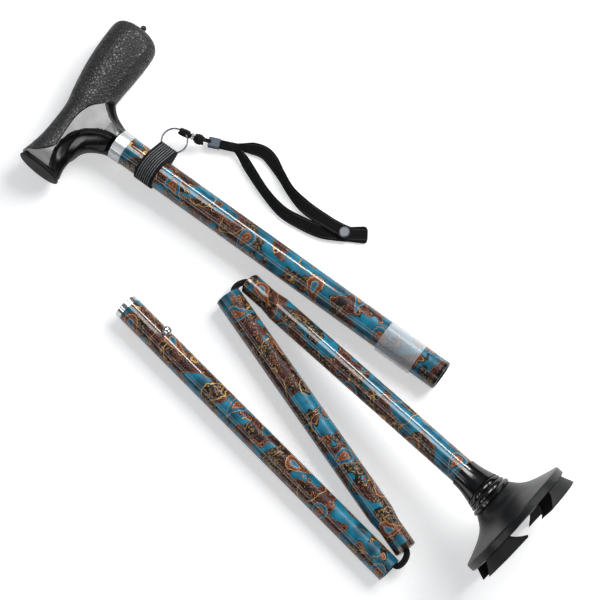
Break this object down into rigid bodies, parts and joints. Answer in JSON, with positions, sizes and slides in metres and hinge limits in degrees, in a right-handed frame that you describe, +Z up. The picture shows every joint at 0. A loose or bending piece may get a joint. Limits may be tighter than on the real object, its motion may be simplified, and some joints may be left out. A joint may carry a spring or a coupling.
{
  "type": "folding cane",
  "caption": "Folding walking cane with a printed tube shaft, offset moulded grip, snap-button height adjustment, wrist strap and a flared swivel foot on legs.",
  "frame": {"origin": "middle of the footprint of the pieces as they lie, on the floor", "axes": "+Z up from the floor; +X to the right and +Y away from the viewer, as in the picture"},
  "size_m": [0.3865, 0.4154, 0.0903],
  "materials": {
    "printed_tube": "glossy printed lacquer on aluminium",
    "bright_metal": "polished",
    "handle_plastic": "gloss",
    "grip_leather": "pebbled",
    "webbing": "woven",
    "cord": "braided",
    "clear_sleeve": "clear, faintly frosted",
    "spring_steel": "plain",
    "nylon": "matte",
    "foot_rubber": "satin"
  },
  "bodies": {
    "middle_section": {"middle_tube": "printed_tube", "middle_end_ring": "bright_metal", "cord_middle": "cord"},
    "upper_link": {"cord_bend_upper": "cord"},
    "button_section": {"button_tube": "printed_tube", "top_ring": "bright_metal", "button_spring": "spring_steel", "cord_anchor_upper": "nylon", "cord_upper": "cord"},
    "snap_button": {"snap_button": "bright_metal"},
    "lower_link": {"cord_bend_lower": "cord"},
    "foot_section": {"lower_tube": "printed_tube", "lower_end_ring": "bright_metal", "cord_lower": "cord", "cord_anchor_lower": "nylon", "foot_ferrule": "foot_rubber", "neck_ring_upper": "foot_rubber"},
    "foot_cup": {"swivel_cup": "nylon"},
    "foot_base": {"foot_base": "foot_rubber", "neck_ring_lower": "foot_rubber", "foot_leg_1": "foot_rubber", "foot_leg_2": "foot_rubber", "foot_leg_3": "foot_rubber", "foot_leg_4": "foot_rubber"},
    "storage_sleeve": {"storage_sleeve": "clear_sleeve"},
    "handle_section": {"handle_core": "handle_plastic", "grip_cover": "grip_leather", "nose_cap": "handle_plastic", "tail_stud": "bright_metal", "collar": "bright_metal", "upper_tube": "printed_tube", "mouth_bush": "handle_plastic", "strap_band": "webbing"},
    "lanyard": {"split_ring": "bright_metal", "cord_knot": "cord", "knot_bead": "bright_metal", "strap_clip": "bright_metal", "strap_neck": "webbing", "strap_outer": "webbing", "strap_inner": "webbing", "strap_tab": "webbing", "strap_stud": "bright_metal"}
  },
  "joints": [
    {"name": "upper_fold", "type": "hinge", "parent": "middle_section", "child": "upper_link", "pos_m": [0.0764, -0.18937, 0.0095], "axis": [0, 0, 1], "range_deg": [0, 169.9], "deforming": ["cord_bend_upper"]},
    {"name": "upper_plug", "type": "slide", "parent": "upper_link", "child": "button_section", "axis": [0.7009, -0.7133, 0], "range_m": [0, 0.021], "deforming": ["cord_bend_upper"]},
    {"name": "button_press", "type": "slide", "parent": "button_section", "child": "snap_button", "axis": [-0.4773, -0.469, -0.7431], "range_m": [0, 0.0043], "stiffness_N_per_m": 900, "deforming": ["button_spring"]},
    {"name": "lower_fold", "type": "hinge", "parent": "middle_section", "child": "lower_link", "pos_m": [-0.03419, 0.00407, 0.00888], "axis": [0.0153, 0.1198, 0.9927], "range_deg": [0, 169.71], "deforming": ["cord_bend_lower"]},
    {"name": "lower_plug", "type": "slide", "parent": "lower_link", "child": "foot_section", "axis": [-0.7049, 0.6903, -0.1632], "range_m": [0, 0.021], "deforming": ["cord_bend_lower"]},
    {"name": "foot_pitch", "type": "hinge", "parent": "foot_section", "child": "foot_cup", "pos_m": [0.14017, -0.15402, 0.04679], "axis": [0.6746, 0.7381, -0.0057], "range_deg": [-12, 12], "deforming": ["neck_ring_upper", "neck_ring_lower"]},
    {"name": "foot_sway", "type": "hinge", "parent": "foot_cup", "child": "foot_base", "pos_m": [0.14017, -0.15402, 0.04679], "axis": [0.0632, -0.05, 0.9967], "range_deg": [-12, 12], "deforming": ["neck_ring_upper", "neck_ring_lower"]},
    {"name": "handle_swing", "type": "hinge", "parent": "lower_link", "child": "storage_sleeve", "pos_m": [1.20826, 1.26358, -2.28184], "axis": [-0.4546, -0.6597, -0.5984], "range_deg": [0, 12.87]},
    {"name": "height_slide", "type": "slide", "parent": "storage_sleeve", "child": "handle_section", "axis": [0.8027, -0.5962, -0.0148], "range_m": [0, 0.128]},
    {"name": "ring_swing", "type": "hinge", "parent": "handle_section", "child": "lanyard", "pos_m": [-0.0875, 0.10768, 0.01603], "axis": [0.8027, -0.5962, -0.0148], "range_deg": [0, 75]}
  ],
  "couplings": [
    {"joint": "handle_swing", "follows": "lower_fold", "ratio": 0.075813}
  ]
}
